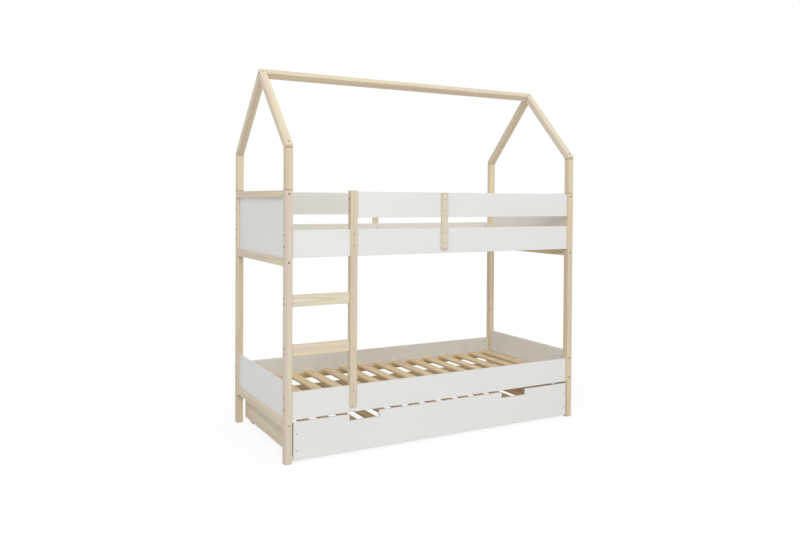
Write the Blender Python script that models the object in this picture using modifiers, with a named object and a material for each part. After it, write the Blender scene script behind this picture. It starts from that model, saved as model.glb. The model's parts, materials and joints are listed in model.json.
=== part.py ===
"""House-frame bunk bed: two slatted bunks, a ladder and a trundle that rolls out on castors.

Metres, +Z up. The origin is on the floor under the middle of the bed. +X runs from the ladder
end to the other end, and +Y from the open front to the back. The trundle rolls out towards -Y.
"""

import math

import bmesh
import bpy
from mathutils import Vector

# The frame
LENGTH = 2.080              # over the outer faces of the posts
WIDTH = 0.980               # over the front and back faces of the posts
TIMBER = 0.043              # square section of posts, rafters, ridge, end rails and ladder
BOARD = 0.018               # thickness of the side, guard and trundle boards
PANEL = 0.010               # thickness of the thin end panels
FIT = 0.0003                # gap between pieces that touch
EASED = 0.0025              # radius on the edges of the timbers
SOFTENED = 0.0015           # radius on the edges of the boards
EDGE_STEPS = 2
SLAT_EDGE_STEPS = 1
SHARP_DEG = 30.0            # faces that meet at more than this keep a sharp edge

# Heights, from the floor up
LOWER_BOARD_Z = 0.244       # underside of the lower side boards
SIDE_BOARD_HEIGHT = 0.158
BUNK_CLEARANCE = 0.760      # from the top of the lower side boards to the upper ones
GUARD_GAP = 0.068           # between the upper side boards and the guard boards
GUARD_HEIGHT = 0.153
POST_MARGIN = 0.005         # the lower posts stand this far above the guard boards
UPPER_POST = 0.238
ROOF_PITCH_DEG = 45.0

# Ends
RAIL_DROP = 0.047           # underside of an end's bottom rail below the side boards
RAIL_MARGIN = 0.0025        # top of the upper end's top rail below the post joint
GROOVE_DEPTH = 0.008        # the thin panels sit in grooves in the rails
LOWER_END_HEIGHT = 0.260    # from the underside of the bottom rail to the panel's top edge

# Slatted bases
SLAT_WIDTH = 0.068
SLAT_THICKNESS = 0.014
SLAT_LIFT = 0.053           # top of the slats above the underside of the side boards
SLAT_COUNT = 15
SLAT_START = 0.021          # from the posts at the ladder end to the first slat
SLAT_STEP = 0.137           # from one slat to the next
SLAT_END_GAP = 0.004        # least gap from the posts at the other end to the last slat
SLAT_SIDE_GAP = 0.001       # from a slat's end to the board
LEDGER_DEPTH = 0.022
LEDGER_HEIGHT = 0.030
LET_IN = 0.001              # the slats are let into the ledgers by this much

# Ladder and battens
LADDER_CLEAR = 0.357        # between the front left post and the stringer
STRINGER_LIFT = 0.032       # foot of the stringer above the lower side board's underside
RUNG_HEIGHT = 0.067
RUNG_THICKNESS = 0.022
RUNG_SHARES = (0.31, 0.68)  # rung centres, up the space between the two side boards
BATTEN_WIDTH = 0.043
BATTEN_FOOT = 0.027         # foot of a batten above the upper side board's underside
BATTEN_HEAD = 0.004         # head of a batten below the guard board's top

# Trundle
TRUNDLE_SIDE_GAP = 0.009    # from the posts to the front panel's ends
TRUNDLE_FLOOR_GAP = 0.0155
TRUNDLE_HEADROOM = 0.010    # from the front panel's top to the side board above it
TRUNDLE_BACK_GAP = 0.037    # back of the trundle inside the back faces of the posts
TRUNDLE_SIDE_INSET = 0.008  # outer face of a side board from the front panel's end
TRUNDLE_BOARD_DROP = 0.029  # top of the side boards below the front panel's top
TRUNDLE_BOARD_Z = 0.033     # underside of the side and back boards
TRUNDLE_SLAT_LIFT = 0.047   # top of the slats above the underside of the side boards
TRUNDLE_SLAT_COUNT = 14
TRUNDLE_SLAT_START = 0.072  # from the side board to the first slat
TRUNDLE_SLAT_STEP = 0.1362
HAND_SLOT_LENGTH = 0.195
HAND_SLOT_DEPTH = 0.038
HAND_SLOT_SPREAD = 1.090    # between the middles of the two hand slots

# Castors
WHEEL_RADIUS = 0.025
WHEEL_WIDTH = 0.016
WHEEL_EDGE = 0.002
WHEEL_HUB = 0.009           # radius of the hub
WHEEL_RIM = 0.006           # height of the rim
WHEEL_DISH = 0.003          # depth of the dish between hub and rim, on each side
WHEEL_STEPS = 24
PIN_RADIUS = 0.004
PIN_CLEARANCE = 0.0004
PIN_STEPS = 16
WHEEL_SIDE_GAP = 0.001
WHEEL_TOP_GAP = 0.0025
HOOD_WALL = 0.003
HOOD_DROP = 0.014           # foot of the hood below the axle
HOOD_STEPS = 12
PLATE_THICKNESS = 0.003
PLATE_WIDTH = 0.068
PLATE_HEIGHT = 0.052        # from the underside of the side board up
CASTOR_GAP = 0.004          # from a castor's plate to the ledger beside it

OVERRUN = 0.010             # how far every cutter runs past what it cuts

# Finishes: colour, roughness, metallic
PINE = ((0.69, 0.58, 0.44), 0.50, 0.0)
PINE_SLAT = ((0.62, 0.47, 0.30), 0.58, 0.0)
WHITE_BOARD = ((0.79, 0.77, 0.75), 0.38, 0.0)
WHITE_PANEL = ((0.72, 0.71, 0.68), 0.42, 0.0)
CASTOR_PLASTIC = ((0.05, 0.05, 0.055), 0.45, 0.0)
WHEEL_PLASTIC = ((0.08, 0.08, 0.085), 0.55, 0.0)

# Planes that several pieces share
LEFT = -LENGTH / 2
RIGHT = LENGTH / 2
FRONT = -WIDTH / 2
BACK = WIDTH / 2
INNER_LEFT = LEFT + TIMBER
INNER_RIGHT = RIGHT - TIMBER
INNER_FRONT = FRONT + TIMBER
INNER_BACK = BACK - TIMBER
BOARD_INSET = (TIMBER - BOARD) / 2
FRONT_BOARD = (FRONT + BOARD_INSET, FRONT + BOARD_INSET + BOARD)
BACK_BOARD = (BACK - BOARD_INSET - BOARD, BACK - BOARD_INSET)
LOWER_BOARD_TOP = LOWER_BOARD_Z + SIDE_BOARD_HEIGHT
UPPER_BOARD_Z = LOWER_BOARD_TOP + BUNK_CLEARANCE
UPPER_BOARD_TOP = UPPER_BOARD_Z + SIDE_BOARD_HEIGHT
GUARD_Z = UPPER_BOARD_TOP + GUARD_GAP
GUARD_TOP = GUARD_Z + GUARD_HEIGHT
POST_JOINT = GUARD_TOP + POST_MARGIN
EAVES = POST_JOINT + UPPER_POST
STRINGER_LEFT = INNER_LEFT + LADDER_CLEAR
STRINGER_RIGHT = STRINGER_LEFT + TIMBER
PITCH = math.radians(ROOF_PITCH_DEG)
HEEL = TIMBER / math.cos(PITCH) - TIMBER * math.tan(PITCH)

TRUNDLE_TOP = LOWER_BOARD_Z - TRUNDLE_HEADROOM
TRUNDLE_LEFT = INNER_LEFT + TRUNDLE_SIDE_GAP
TRUNDLE_RIGHT = INNER_RIGHT - TRUNDLE_SIDE_GAP
TRUNDLE_BACK = BACK - TRUNDLE_BACK_GAP
TRUNDLE_FACE_BACK = FRONT + BOARD
TRUNDLE_INNER_LEFT = TRUNDLE_LEFT + TRUNDLE_SIDE_INSET + BOARD
TRUNDLE_INNER_RIGHT = TRUNDLE_RIGHT - TRUNDLE_SIDE_INSET - BOARD

# Built from 2D outlines: x of the outline lies along +Y or -Y, and y of it along +Z
FACING_BACK = (math.radians(90), 0, math.radians(90))
FACING_FRONT = (math.radians(90), 0, math.radians(-90))


def clear_scene():
    """Remove the objects that are in the scene."""
    for item in list(bpy.data.objects):
        bpy.data.objects.remove(item, do_unlink=True)


def new_collection(name):
    """Add an empty collection to the scene."""
    made = bpy.data.collections.new(name)
    bpy.context.scene.collection.children.link(made)
    return made


def finish(name, look):
    """Make one piece's own material from a finish."""
    colour, roughness, metallic = look
    material = bpy.data.materials.new(name + "_finish")
    material.use_nodes = True
    shader = material.node_tree.nodes["Principled BSDF"]
    shader.inputs["Base Color"].default_value = (*colour, 1.0)
    shader.inputs["Roughness"].default_value = roughness
    shader.inputs["Metallic"].default_value = metallic
    material.diffuse_color = (*colour, 1.0)
    return material


def add_piece(name, mesh, look, place=(0, 0, 0), turn=(0, 0, 0), carrier=None):
    """Put a mesh in the bed's collection as one named piece, at a place in world coordinates."""
    piece = bpy.data.objects.new(name, mesh)
    BED.objects.link(piece)
    piece.rotation_euler = turn
    piece.location = place
    if carrier is not None:
        piece.parent = carrier
        piece.location = Vector(place) - carrier.location
    if not mesh.materials:
        mesh.materials.append(finish(name, look))
    return piece


def add_guide(name, mesh, place=(0, 0, 0), turn=(0, 0, 0)):
    """Put a mesh among the cutters, which are never shown."""
    guide = bpy.data.objects.new(name, mesh)
    CUTTERS.objects.link(guide)
    guide.rotation_euler = turn
    guide.location = place
    guide.hide_render = True
    guide.display_type = "WIRE"
    return guide


def add_box(bm, low, high, edge=0, steps=EDGE_STEPS):
    """Add a box between two corners to bm, with rounded edges if edge is given."""
    made = bmesh.ops.create_cube(bm, size=1)["verts"]
    low = Vector(low)
    high = Vector(high)
    bmesh.ops.scale(bm, vec=high - low, verts=made)
    bmesh.ops.translate(bm, vec=(high + low) / 2, verts=made)
    if edge:
        edges = list({item for vert in made for item in vert.link_edges})
        bmesh.ops.bevel(bm, geom=edges, offset=edge, segments=steps, profile=0.5, affect="EDGES")


def box_mesh(name, size):
    """Make a plain box mesh around the origin."""
    bm = bmesh.new()
    half = Vector(size) / 2
    add_box(bm, -half, half)
    mesh = bpy.data.meshes.new(name)
    bm.to_mesh(mesh)
    bm.free()
    return mesh


def middle_and_size(x, y, z):
    """Turn three (low, high) ranges into a middle and a size."""
    middle = Vector((sum(x) / 2, sum(y) / 2, sum(z) / 2))
    size = Vector((x[1] - x[0], y[1] - y[0], z[1] - z[0]))
    return middle, size


def round_edges(piece, radius):
    """Round the sharp edges of a piece."""
    bevel = piece.modifiers.new("rounded_edges", "BEVEL")
    bevel.width = radius
    bevel.segments = EDGE_STEPS
    bevel.limit_method = "ANGLE"
    bevel.angle_limit = math.radians(SHARP_DEG)


def board(name, x, y, z, look, edge=SOFTENED, carrier=None):
    """Make a rectangular board or timber that fills three (low, high) ranges."""
    middle, size = middle_and_size(x, y, z)
    piece = add_piece(name, box_mesh(name, size), look, middle, carrier=carrier)
    round_edges(piece, edge)
    return piece


def combine(piece, guide, operation):
    """Cut a guide out of a piece, or join it on."""
    boolean = piece.modifiers.new(guide.name, "BOOLEAN")
    boolean.operation = operation
    boolean.solver = "EXACT"
    boolean.object = guide


def cut_box(piece, name, x, y, z):
    """Cut a box that fills three ranges out of a piece."""
    middle, size = middle_and_size(x, y, z)
    combine(piece, add_guide(name, box_mesh(name, size), middle), "DIFFERENCE")


def evaluated_mesh(item):
    """Read an object's mesh with its modifiers, as one welded surface."""
    bpy.context.view_layer.update()
    shown = item.evaluated_get(bpy.context.evaluated_depsgraph_get())
    mesh = bpy.data.meshes.new_from_object(shown)
    bm = bmesh.new()
    bm.from_mesh(mesh)
    bmesh.ops.remove_doubles(bm, verts=bm.verts, dist=FIT / 10)
    bmesh.ops.dissolve_limit(bm, angle_limit=math.radians(1), verts=bm.verts, edges=bm.edges)
    bm.to_mesh(mesh)
    bm.free()
    return mesh


def outline_mesh(name, points, thickness):
    """Make a flat piece from the points of its outline, with its thickness along local Z."""
    curve = bpy.data.curves.new(name, "CURVE")
    curve.dimensions = "2D"
    curve.fill_mode = "BOTH"
    curve.extrude = thickness / 2
    spline = curve.splines.new("POLY")
    spline.points.add(len(points) - 1)
    for target, (across, up) in zip(spline.points, points):
        target.co = (across, up, 0, 1)
    spline.use_cyclic_u = True
    drawn = bpy.data.objects.new(name, curve)
    CUTTERS.objects.link(drawn)
    mesh = evaluated_mesh(drawn)
    bpy.data.objects.remove(drawn, do_unlink=True)
    mesh.name = name
    return mesh


def make_posts():
    """Make four lower posts and the four shorter posts that stand on them."""
    for side, x in (("left", (LEFT, INNER_LEFT)), ("right", (INNER_RIGHT, RIGHT))):
        for face, y in (("front", (FRONT, INNER_FRONT)), ("back", (INNER_BACK, BACK))):
            lower = (0, POST_JOINT)
            upper = (POST_JOINT + FIT, EAVES - FIT)
            board(f"lower_post_{face}_{side}", x, y, lower, PINE, EASED)
            board(f"upper_post_{face}_{side}", x, y, upper, PINE, EASED)


def crossing_rafter():
    """Outline of the rafter that runs up to the apex, from the outer heel of its level foot."""
    slope = math.tan(PITCH)
    tip = (WIDTH + TIMBER) / 2 + HEEL / (2 * slope)
    return [
        (0, 0),
        (0, HEEL),
        (WIDTH / 2, HEEL + slope * WIDTH / 2),
        (tip, slope * (tip - TIMBER)),
        (TIMBER, 0),
    ]


def butting_rafter():
    """Outline of the rafter that stops against the inner face of the other one."""
    slope = math.tan(PITCH)
    gap = FIT / math.cos(PITCH)
    outer = (WIDTH - TIMBER) / 2 - (HEEL + gap) / (2 * slope)
    inner = WIDTH / 2 - gap / (2 * slope)
    return [
        (0, 0),
        (0, HEEL),
        (outer, HEEL + slope * outer),
        (inner, slope * (inner - TIMBER)),
        (TIMBER, 0),
    ]


def make_roof():
    """Set two pairs of rafters on the posts, and the ridge, turned to the slope, between them."""
    crossing = outline_mesh("crossing_rafter", crossing_rafter(), TIMBER)
    butting = outline_mesh("butting_rafter", butting_rafter(), TIMBER)
    for side, x in (("left", LEFT + TIMBER / 2), ("right", RIGHT - TIMBER / 2)):
        front = (x, FRONT, EAVES)
        back = (x, BACK, EAVES)
        rafter = add_piece(f"rafter_front_{side}", crossing.copy(), PINE, front, FACING_BACK)
        round_edges(rafter, EASED)
        rafter = add_piece(f"rafter_back_{side}", butting.copy(), PINE, back, FACING_FRONT)
        round_edges(rafter, EASED)
    apex = EAVES + HEEL + math.tan(PITCH) * WIDTH / 2
    run = INNER_RIGHT - INNER_LEFT - 2 * FIT
    middle = (0, 0, apex - TIMBER / (2 * math.cos(PITCH)))
    ridge = add_piece("ridge", box_mesh("ridge", (run, TIMBER, TIMBER)), PINE, middle)
    ridge.rotation_euler = (PITCH, 0, 0)
    round_edges(ridge, EASED)


def make_side_boards():
    """Make the long boards: two low, two high, and the two guard boards above them."""
    run = (INNER_LEFT + FIT, INNER_RIGHT - FIT)
    low = (LOWER_BOARD_Z, LOWER_BOARD_TOP)
    high = (UPPER_BOARD_Z, UPPER_BOARD_TOP)
    guard = (GUARD_Z, GUARD_TOP)
    board("lower_side_board_front", run, FRONT_BOARD, low, WHITE_BOARD)
    board("lower_side_board_back", run, BACK_BOARD, low, WHITE_BOARD)
    board("upper_side_board_front", run, FRONT_BOARD, high, WHITE_BOARD)
    board("upper_side_board_back", run, BACK_BOARD, high, WHITE_BOARD)
    board("guard_board_front", (STRINGER_RIGHT + FIT, run[1]), FRONT_BOARD, guard, WHITE_BOARD)
    board("guard_board_back", run, BACK_BOARD, guard, WHITE_BOARD)
    x = (-BATTEN_WIDTH / 2, BATTEN_WIDTH / 2)
    z = (UPPER_BOARD_Z + BATTEN_FOOT, GUARD_TOP - BATTEN_HEAD)
    outside = FRONT_BOARD[0] - FIT
    board("batten_front", x, (outside - BOARD, outside), z, PINE)
    outside = BACK_BOARD[1] + FIT
    board("batten_back", x, (outside, outside + BOARD), z, PINE)


def end_rail(name, x, z, groove):
    """Make a rail between two posts of an end, with a groove from groove[0] to groove[1]."""
    rail = board(name, x, (INNER_FRONT + FIT, INNER_BACK - FIT), z, PINE, EASED)
    middle = sum(x) / 2
    half = PANEL / 2 + FIT
    cut_box(rail, name + "_groove", (middle - half, middle + half), (FRONT, BACK), groove)


def end_panel(name, x, z):
    """Make a thin panel that stands in the middle of an end's posts."""
    middle = sum(x) / 2
    thickness = (middle - PANEL / 2, middle + PANEL / 2)
    board(name, thickness, (INNER_FRONT + FIT, INNER_BACK - FIT), z, WHITE_PANEL, SOFTENED)


def make_ends():
    """Frame and panel at both ends of the upper bunk, and the two lower ends, which differ."""
    seat = GROOVE_DEPTH - FIT
    low = UPPER_BOARD_Z - RAIL_DROP
    high = POST_JOINT - RAIL_MARGIN
    for side, x in (("left", (LEFT, INNER_LEFT)), ("right", (INNER_RIGHT, RIGHT))):
        sill = low + TIMBER
        head = high - TIMBER
        down = (sill - GROOVE_DEPTH, sill + OVERRUN)
        up = (head - OVERRUN, head + GROOVE_DEPTH)
        end_rail(f"upper_end_bottom_rail_{side}", x, (low, sill), down)
        end_rail(f"upper_end_top_rail_{side}", x, (head, high), up)
        end_panel(f"upper_end_panel_{side}", x, (sill - seat, head + seat))
    low = LOWER_BOARD_Z - RAIL_DROP
    sill = low + TIMBER
    top = low + LOWER_END_HEIGHT
    down = (sill - GROOVE_DEPTH, sill + OVERRUN)
    x = (LEFT, INNER_LEFT)
    end_rail("lower_end_bottom_rail_left", x, (low, sill), down)
    end_panel("lower_end_panel_left", x, (sill - seat, top))
    x = (RIGHT - BOARD_INSET - BOARD, RIGHT - BOARD_INSET)
    y = (INNER_FRONT + FIT, INNER_BACK - FIT)
    board("lower_end_board_right", x, y, (low, top), WHITE_BOARD)


def slatted_base(name, x, y, slat_top, spacing, carrier=None):
    """Lay slats from front to back on two ledgers that run along the faces y[0] and y[1].

    Spacing is the count, the gap before the first slat and the step. The last slat moves closer
    to its neighbour if the row would run past the far end.
    """
    count, start, step = spacing
    underside = slat_top - SLAT_THICKNESS
    last = x[1] - SLAT_END_GAP - SLAT_WIDTH
    origin = Vector((sum(x) / 2, sum(y) / 2, underside))
    bm = bmesh.new()
    for index in range(count):
        left = min(x[0] + start + index * step, last)
        low = Vector((left, y[0] + SLAT_SIDE_GAP, underside)) - origin
        high = Vector((left + SLAT_WIDTH, y[1] - SLAT_SIDE_GAP, slat_top)) - origin
        add_box(bm, low, high, SOFTENED, SLAT_EDGE_STEPS)
    mesh = bpy.data.meshes.new(name)
    bm.to_mesh(mesh)
    bm.free()
    base = add_piece(name, mesh, PINE_SLAT, origin, carrier=carrier)
    ends = (x[0] + SLAT_END_GAP, x[1] - SLAT_END_GAP)
    heights = (underside + LET_IN - LEDGER_HEIGHT, underside + LET_IN)
    faces = (
        ("front", (y[0] + FIT, y[0] + FIT + LEDGER_DEPTH)),
        ("back", (y[1] - FIT - LEDGER_DEPTH, y[1] - FIT)),
    )
    for face, depth in faces:
        middle, size = middle_and_size(ends, depth, heights)
        ledger = add_guide(f"{name}_ledger_{face}", box_mesh(name, size), middle)
        combine(base, ledger, "UNION")


def make_bunk_bases():
    """Make the slatted base of each bunk, on the inner faces of its side boards."""
    x = (INNER_LEFT, INNER_RIGHT)
    y = (FRONT_BOARD[1], BACK_BOARD[0])
    spacing = (SLAT_COUNT, SLAT_START, SLAT_STEP)
    for name, underside in (("lower", LOWER_BOARD_Z), ("upper", UPPER_BOARD_Z)):
        slatted_base(f"{name}_slatted_base", x, y, underside + SLAT_LIFT, spacing)


def stringer_outline():
    """Side view of the stringer, from its foot: notched at the back over both side boards."""
    foot = LOWER_BOARD_Z + STRINGER_LIFT
    tongue = BOARD_INSET - FIT
    return [
        (0, 0),
        (0, POST_JOINT - foot),
        (TIMBER, POST_JOINT - foot),
        (TIMBER, UPPER_BOARD_TOP + FIT - foot),
        (tongue, UPPER_BOARD_TOP + FIT - foot),
        (tongue, UPPER_BOARD_Z - FIT - foot),
        (TIMBER, UPPER_BOARD_Z - FIT - foot),
        (TIMBER, LOWER_BOARD_TOP + FIT - foot),
        (tongue, LOWER_BOARD_TOP + FIT - foot),
        (tongue, 0),
    ]


def make_ladder():
    """Make the stringer, and the rungs between it and the front left post."""
    mesh = outline_mesh("ladder_stringer", stringer_outline(), TIMBER)
    place = (STRINGER_LEFT + TIMBER / 2, FRONT, LOWER_BOARD_Z + STRINGER_LIFT)
    stringer = add_piece("ladder_stringer", mesh, PINE, place, FACING_BACK)
    round_edges(stringer, EASED)
    x = (INNER_LEFT + FIT, STRINGER_LEFT - FIT)
    inset = (TIMBER - RUNG_THICKNESS) / 2
    y = (FRONT + inset, FRONT + inset + RUNG_THICKNESS)
    for name, share in zip(("lower", "upper"), RUNG_SHARES):
        middle = LOWER_BOARD_TOP + share * BUNK_CLEARANCE
        z = (middle - RUNG_HEIGHT / 2, middle + RUNG_HEIGHT / 2)
        board(f"ladder_rung_{name}", x, y, z, PINE, EASED)


def wheel_mesh():
    """Turn the wheel's profile about local Z: a rim and a hub with a dished web between."""
    half = WHEEL_WIDTH / 2
    web = half - WHEEL_DISH
    bore = PIN_RADIUS + PIN_CLEARANCE
    rim = WHEEL_RADIUS - WHEEL_RIM
    upper = [
        (bore, half),
        (WHEEL_HUB, half),
        (WHEEL_HUB, web),
        (rim, web),
        (rim, half),
        (WHEEL_RADIUS - WHEEL_EDGE, half),
        (WHEEL_RADIUS, half - WHEEL_EDGE),
    ]
    profile = upper + [(radius, -up) for radius, up in reversed(upper)]
    bm = bmesh.new()
    points = [bm.verts.new((radius, 0, up)) for radius, up in profile]
    for start, end in zip(points, points[1:] + points[:1]):
        bm.edges.new((start, end))
    mesh = bpy.data.meshes.new("wheel_profile")
    bm.to_mesh(mesh)
    bm.free()
    turned = add_guide("wheel_profile", mesh)
    screw = turned.modifiers.new("turn", "SCREW")
    screw.axis = "Z"
    screw.steps = WHEEL_STEPS
    screw.render_steps = WHEEL_STEPS
    screw.use_merge_vertices = True
    screw.merge_threshold = FIT / 10
    wheel = evaluated_mesh(turned)
    bpy.data.objects.remove(turned, do_unlink=True)
    return wheel


def arch_outline(radius, foot):
    """Side view of a hood: a half round over the axle with straight legs down to foot."""
    turns = [math.pi * index / HOOD_STEPS for index in range(HOOD_STEPS + 1)]
    arch = [(radius * math.cos(turn), radius * math.sin(turn)) for turn in turns]
    return arch + [(-radius, -foot), (radius, -foot)]


def castor_mesh():
    """Make a castor's plate, hood and pin in one, with the axle at the origin and +X inwards."""
    slot_width = WHEEL_WIDTH + 2 * WHEEL_SIDE_GAP
    slot_start = PLATE_THICKNESS + HOOD_WALL
    depth = slot_start + slot_width + HOOD_WALL
    slot_radius = WHEEL_RADIUS + WHEEL_TOP_GAP
    hood_start = PLATE_THICKNESS / 2
    hood = outline_mesh("hood", arch_outline(slot_radius + HOOD_WALL, HOOD_DROP), depth - hood_start)
    body = add_guide("castor_hood", hood, ((hood_start + depth) / 2, 0, 0), FACING_BACK)
    slot = outline_mesh("slot", arch_outline(slot_radius, HOOD_DROP + OVERRUN), slot_width)
    place = (slot_start + slot_width / 2, 0, 0)
    combine(body, add_guide("castor_slot", slot, place, FACING_BACK), "DIFFERENCE")
    x = (0, PLATE_THICKNESS)
    y = (-PLATE_WIDTH / 2, PLATE_WIDTH / 2)
    z = (TRUNDLE_BOARD_Z - WHEEL_RADIUS, TRUNDLE_BOARD_Z - WHEEL_RADIUS + PLATE_HEIGHT)
    middle, size = middle_and_size(x, y, z)
    combine(body, add_guide("castor_plate", box_mesh("plate", size), middle), "UNION")
    pin_end = depth - HOOD_WALL / 2
    bm = bmesh.new()
    bmesh.ops.create_cone(
        bm,
        cap_ends=True,
        segments=PIN_STEPS,
        radius1=PIN_RADIUS,
        radius2=PIN_RADIUS,
        depth=pin_end - hood_start,
    )
    pin = bpy.data.meshes.new("pin")
    bm.to_mesh(pin)
    bm.free()
    place = ((hood_start + pin_end) / 2, 0, 0)
    combine(body, add_guide("castor_pin", pin, place, FACING_BACK), "UNION")
    mesh = evaluated_mesh(body)
    mesh.transform(body.matrix_world)
    bpy.data.objects.remove(body, do_unlink=True)
    return mesh


def make_castors(carrier):
    """Screw a castor inside each corner of the trundle, with its wheel on the pin."""
    holder = castor_mesh()
    wheel = wheel_mesh()
    edge = LEDGER_DEPTH + CASTOR_GAP + PLATE_WIDTH / 2
    wheel_middle = PLATE_THICKNESS + HOOD_WALL + WHEEL_SIDE_GAP + WHEEL_WIDTH / 2
    rows = (("front", TRUNDLE_FACE_BACK + edge), ("back", TRUNDLE_BACK - BOARD - edge))
    sides = (("left", TRUNDLE_INNER_LEFT, 1), ("right", TRUNDLE_INNER_RIGHT, -1))
    for face, y in rows:
        for side, x, inwards in sides:
            turn = (0, 0, 0 if inwards > 0 else math.pi)
            place = (x + inwards * FIT, y, WHEEL_RADIUS)
            name = f"castor_holder_{face}_{side}"
            add_piece(name, holder.copy(), CASTOR_PLASTIC, place, turn, carrier)
            place = (x + inwards * (FIT + wheel_middle), y, WHEEL_RADIUS)
            turn = (0, math.pi / 2, 0)
            name = f"castor_wheel_{face}_{side}"
            add_piece(name, wheel.copy(), WHEEL_PLASTIC, place, turn, carrier)


def make_trundle():
    """Make the low bed on castors: a front panel with two hand slots, three boards and slats."""
    trundle = bpy.data.objects.new("trundle", None)
    BED.objects.link(trundle)
    trundle.location = (0, FRONT, WHEEL_RADIUS)
    x = (TRUNDLE_LEFT, TRUNDLE_RIGHT)
    y = (FRONT, TRUNDLE_FACE_BACK)
    z = (TRUNDLE_FLOOR_GAP, TRUNDLE_TOP)
    middle, size = middle_and_size(x, y, z)
    mesh = box_mesh("trundle_front", size)
    panel = add_piece("trundle_front", mesh, WHITE_BOARD, middle, carrier=trundle)
    depth = (FRONT - OVERRUN, TRUNDLE_FACE_BACK + OVERRUN)
    height = (TRUNDLE_TOP - HAND_SLOT_DEPTH, TRUNDLE_TOP + OVERRUN)
    for side, centre in (("left", -HAND_SLOT_SPREAD / 2), ("right", HAND_SLOT_SPREAD / 2)):
        length = (centre - HAND_SLOT_LENGTH / 2, centre + HAND_SLOT_LENGTH / 2)
        cut_box(panel, f"hand_slot_{side}", length, depth, height)
    round_edges(panel, SOFTENED)
    inner = (TRUNDLE_INNER_LEFT, TRUNDLE_INNER_RIGHT)
    y = (TRUNDLE_FACE_BACK + FIT, TRUNDLE_BACK)
    z = (TRUNDLE_BOARD_Z, TRUNDLE_TOP - TRUNDLE_BOARD_DROP)
    left = (inner[0] - BOARD, inner[0])
    right = (inner[1], inner[1] + BOARD)
    board("trundle_side_left", left, y, z, PINE, carrier=trundle)
    board("trundle_side_right", right, y, z, PINE, carrier=trundle)
    back = (TRUNDLE_BACK - BOARD, TRUNDLE_BACK)
    board("trundle_back", (inner[0] + FIT, inner[1] - FIT), back, z, PINE, carrier=trundle)
    slatted_base(
        "trundle_slatted_base",
        inner,
        (TRUNDLE_FACE_BACK, back[0]),
        TRUNDLE_BOARD_Z + TRUNDLE_SLAT_LIFT,
        (TRUNDLE_SLAT_COUNT, TRUNDLE_SLAT_START, TRUNDLE_SLAT_STEP),
        trundle,
    )
    make_castors(trundle)


clear_scene()
BED = new_collection("bunk_bed")
CUTTERS = new_collection("cutters")
make_posts()
make_roof()
make_side_boards()
make_ends()
make_bunk_bases()
make_ladder()
make_trundle()
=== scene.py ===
# %% [markdown]
# # A house-frame bunk bed in pine and white boards
#
# The bed is already modelled: its posts, rafters, boards, ladder and trundle are solids at
# their real sizes. This script gives them their looks. It loads the solids, builds each finish
# from shader nodes, makes the slats and the fasteners with Geometry Nodes, and sets up the
# floor, the light and the camera. Lengths are in metres, and +Z is up. A new Blender scene has
# objects of its own, so whatever isn't part of the bed is removed first.

import json
import math
import random

import bpy
from mathutils import Matrix, Vector

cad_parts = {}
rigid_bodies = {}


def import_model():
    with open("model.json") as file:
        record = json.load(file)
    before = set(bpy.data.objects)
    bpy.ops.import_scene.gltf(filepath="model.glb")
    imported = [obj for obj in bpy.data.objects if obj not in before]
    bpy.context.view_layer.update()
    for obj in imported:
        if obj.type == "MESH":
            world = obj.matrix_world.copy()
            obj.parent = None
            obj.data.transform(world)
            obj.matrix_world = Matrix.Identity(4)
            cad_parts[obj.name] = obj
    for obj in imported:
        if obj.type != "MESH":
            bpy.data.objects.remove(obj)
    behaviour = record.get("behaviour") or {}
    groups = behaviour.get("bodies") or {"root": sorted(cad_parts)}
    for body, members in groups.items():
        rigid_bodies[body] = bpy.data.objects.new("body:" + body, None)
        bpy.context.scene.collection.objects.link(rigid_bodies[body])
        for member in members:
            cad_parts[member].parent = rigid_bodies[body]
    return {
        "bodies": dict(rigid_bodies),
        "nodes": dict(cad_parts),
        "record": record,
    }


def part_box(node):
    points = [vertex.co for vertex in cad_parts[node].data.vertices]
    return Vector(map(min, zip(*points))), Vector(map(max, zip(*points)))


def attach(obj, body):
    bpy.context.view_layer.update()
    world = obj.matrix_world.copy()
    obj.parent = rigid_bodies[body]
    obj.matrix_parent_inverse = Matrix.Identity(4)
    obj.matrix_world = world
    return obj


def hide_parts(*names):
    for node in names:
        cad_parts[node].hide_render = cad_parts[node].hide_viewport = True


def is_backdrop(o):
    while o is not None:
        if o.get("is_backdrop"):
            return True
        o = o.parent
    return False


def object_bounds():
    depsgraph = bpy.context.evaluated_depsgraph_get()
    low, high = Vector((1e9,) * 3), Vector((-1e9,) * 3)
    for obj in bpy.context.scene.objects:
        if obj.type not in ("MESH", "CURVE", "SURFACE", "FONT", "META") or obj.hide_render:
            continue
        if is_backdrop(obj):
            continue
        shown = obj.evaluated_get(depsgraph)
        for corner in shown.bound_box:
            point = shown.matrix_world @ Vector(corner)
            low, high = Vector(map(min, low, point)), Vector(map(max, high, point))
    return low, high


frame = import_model()
NODES = frame["nodes"]
BODIES = frame["bodies"]
for item in list(bpy.data.objects):
    if item not in NODES.values() and item not in BODIES.values():
        bpy.data.objects.remove(item, do_unlink=True)
CAD_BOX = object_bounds()
SLOTS = {part["node"]: part["material_slot"] for part in frame["record"]["subparts"]}
print("solids:", len(NODES), "bodies:", sorted(BODIES))

# %% [markdown]
# ## Sums on sockets
#
# A wood finish is mostly arithmetic: how far is this point from the heart of the tree, and where
# does it fall between two rings? Each sum is a Math node, and wiring dozens by hand hides the
# idea. A small class that wraps a socket and answers to + - * / and ** lets the sums be written
# as they would be on paper, and each one still adds an ordinary Math node. Where the number
# stands first, as in 1 - mask, Python asks the socket with the two swapped.

# %% A socket that can be used in sums
def adds(operation, swapped=False):
    """A method that adds one Math node."""

    def method(self, *others):
        inputs = (self, *others)
        return self.graph.maths(operation, *(inputs[::-1] if swapped else inputs))

    return method


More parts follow.
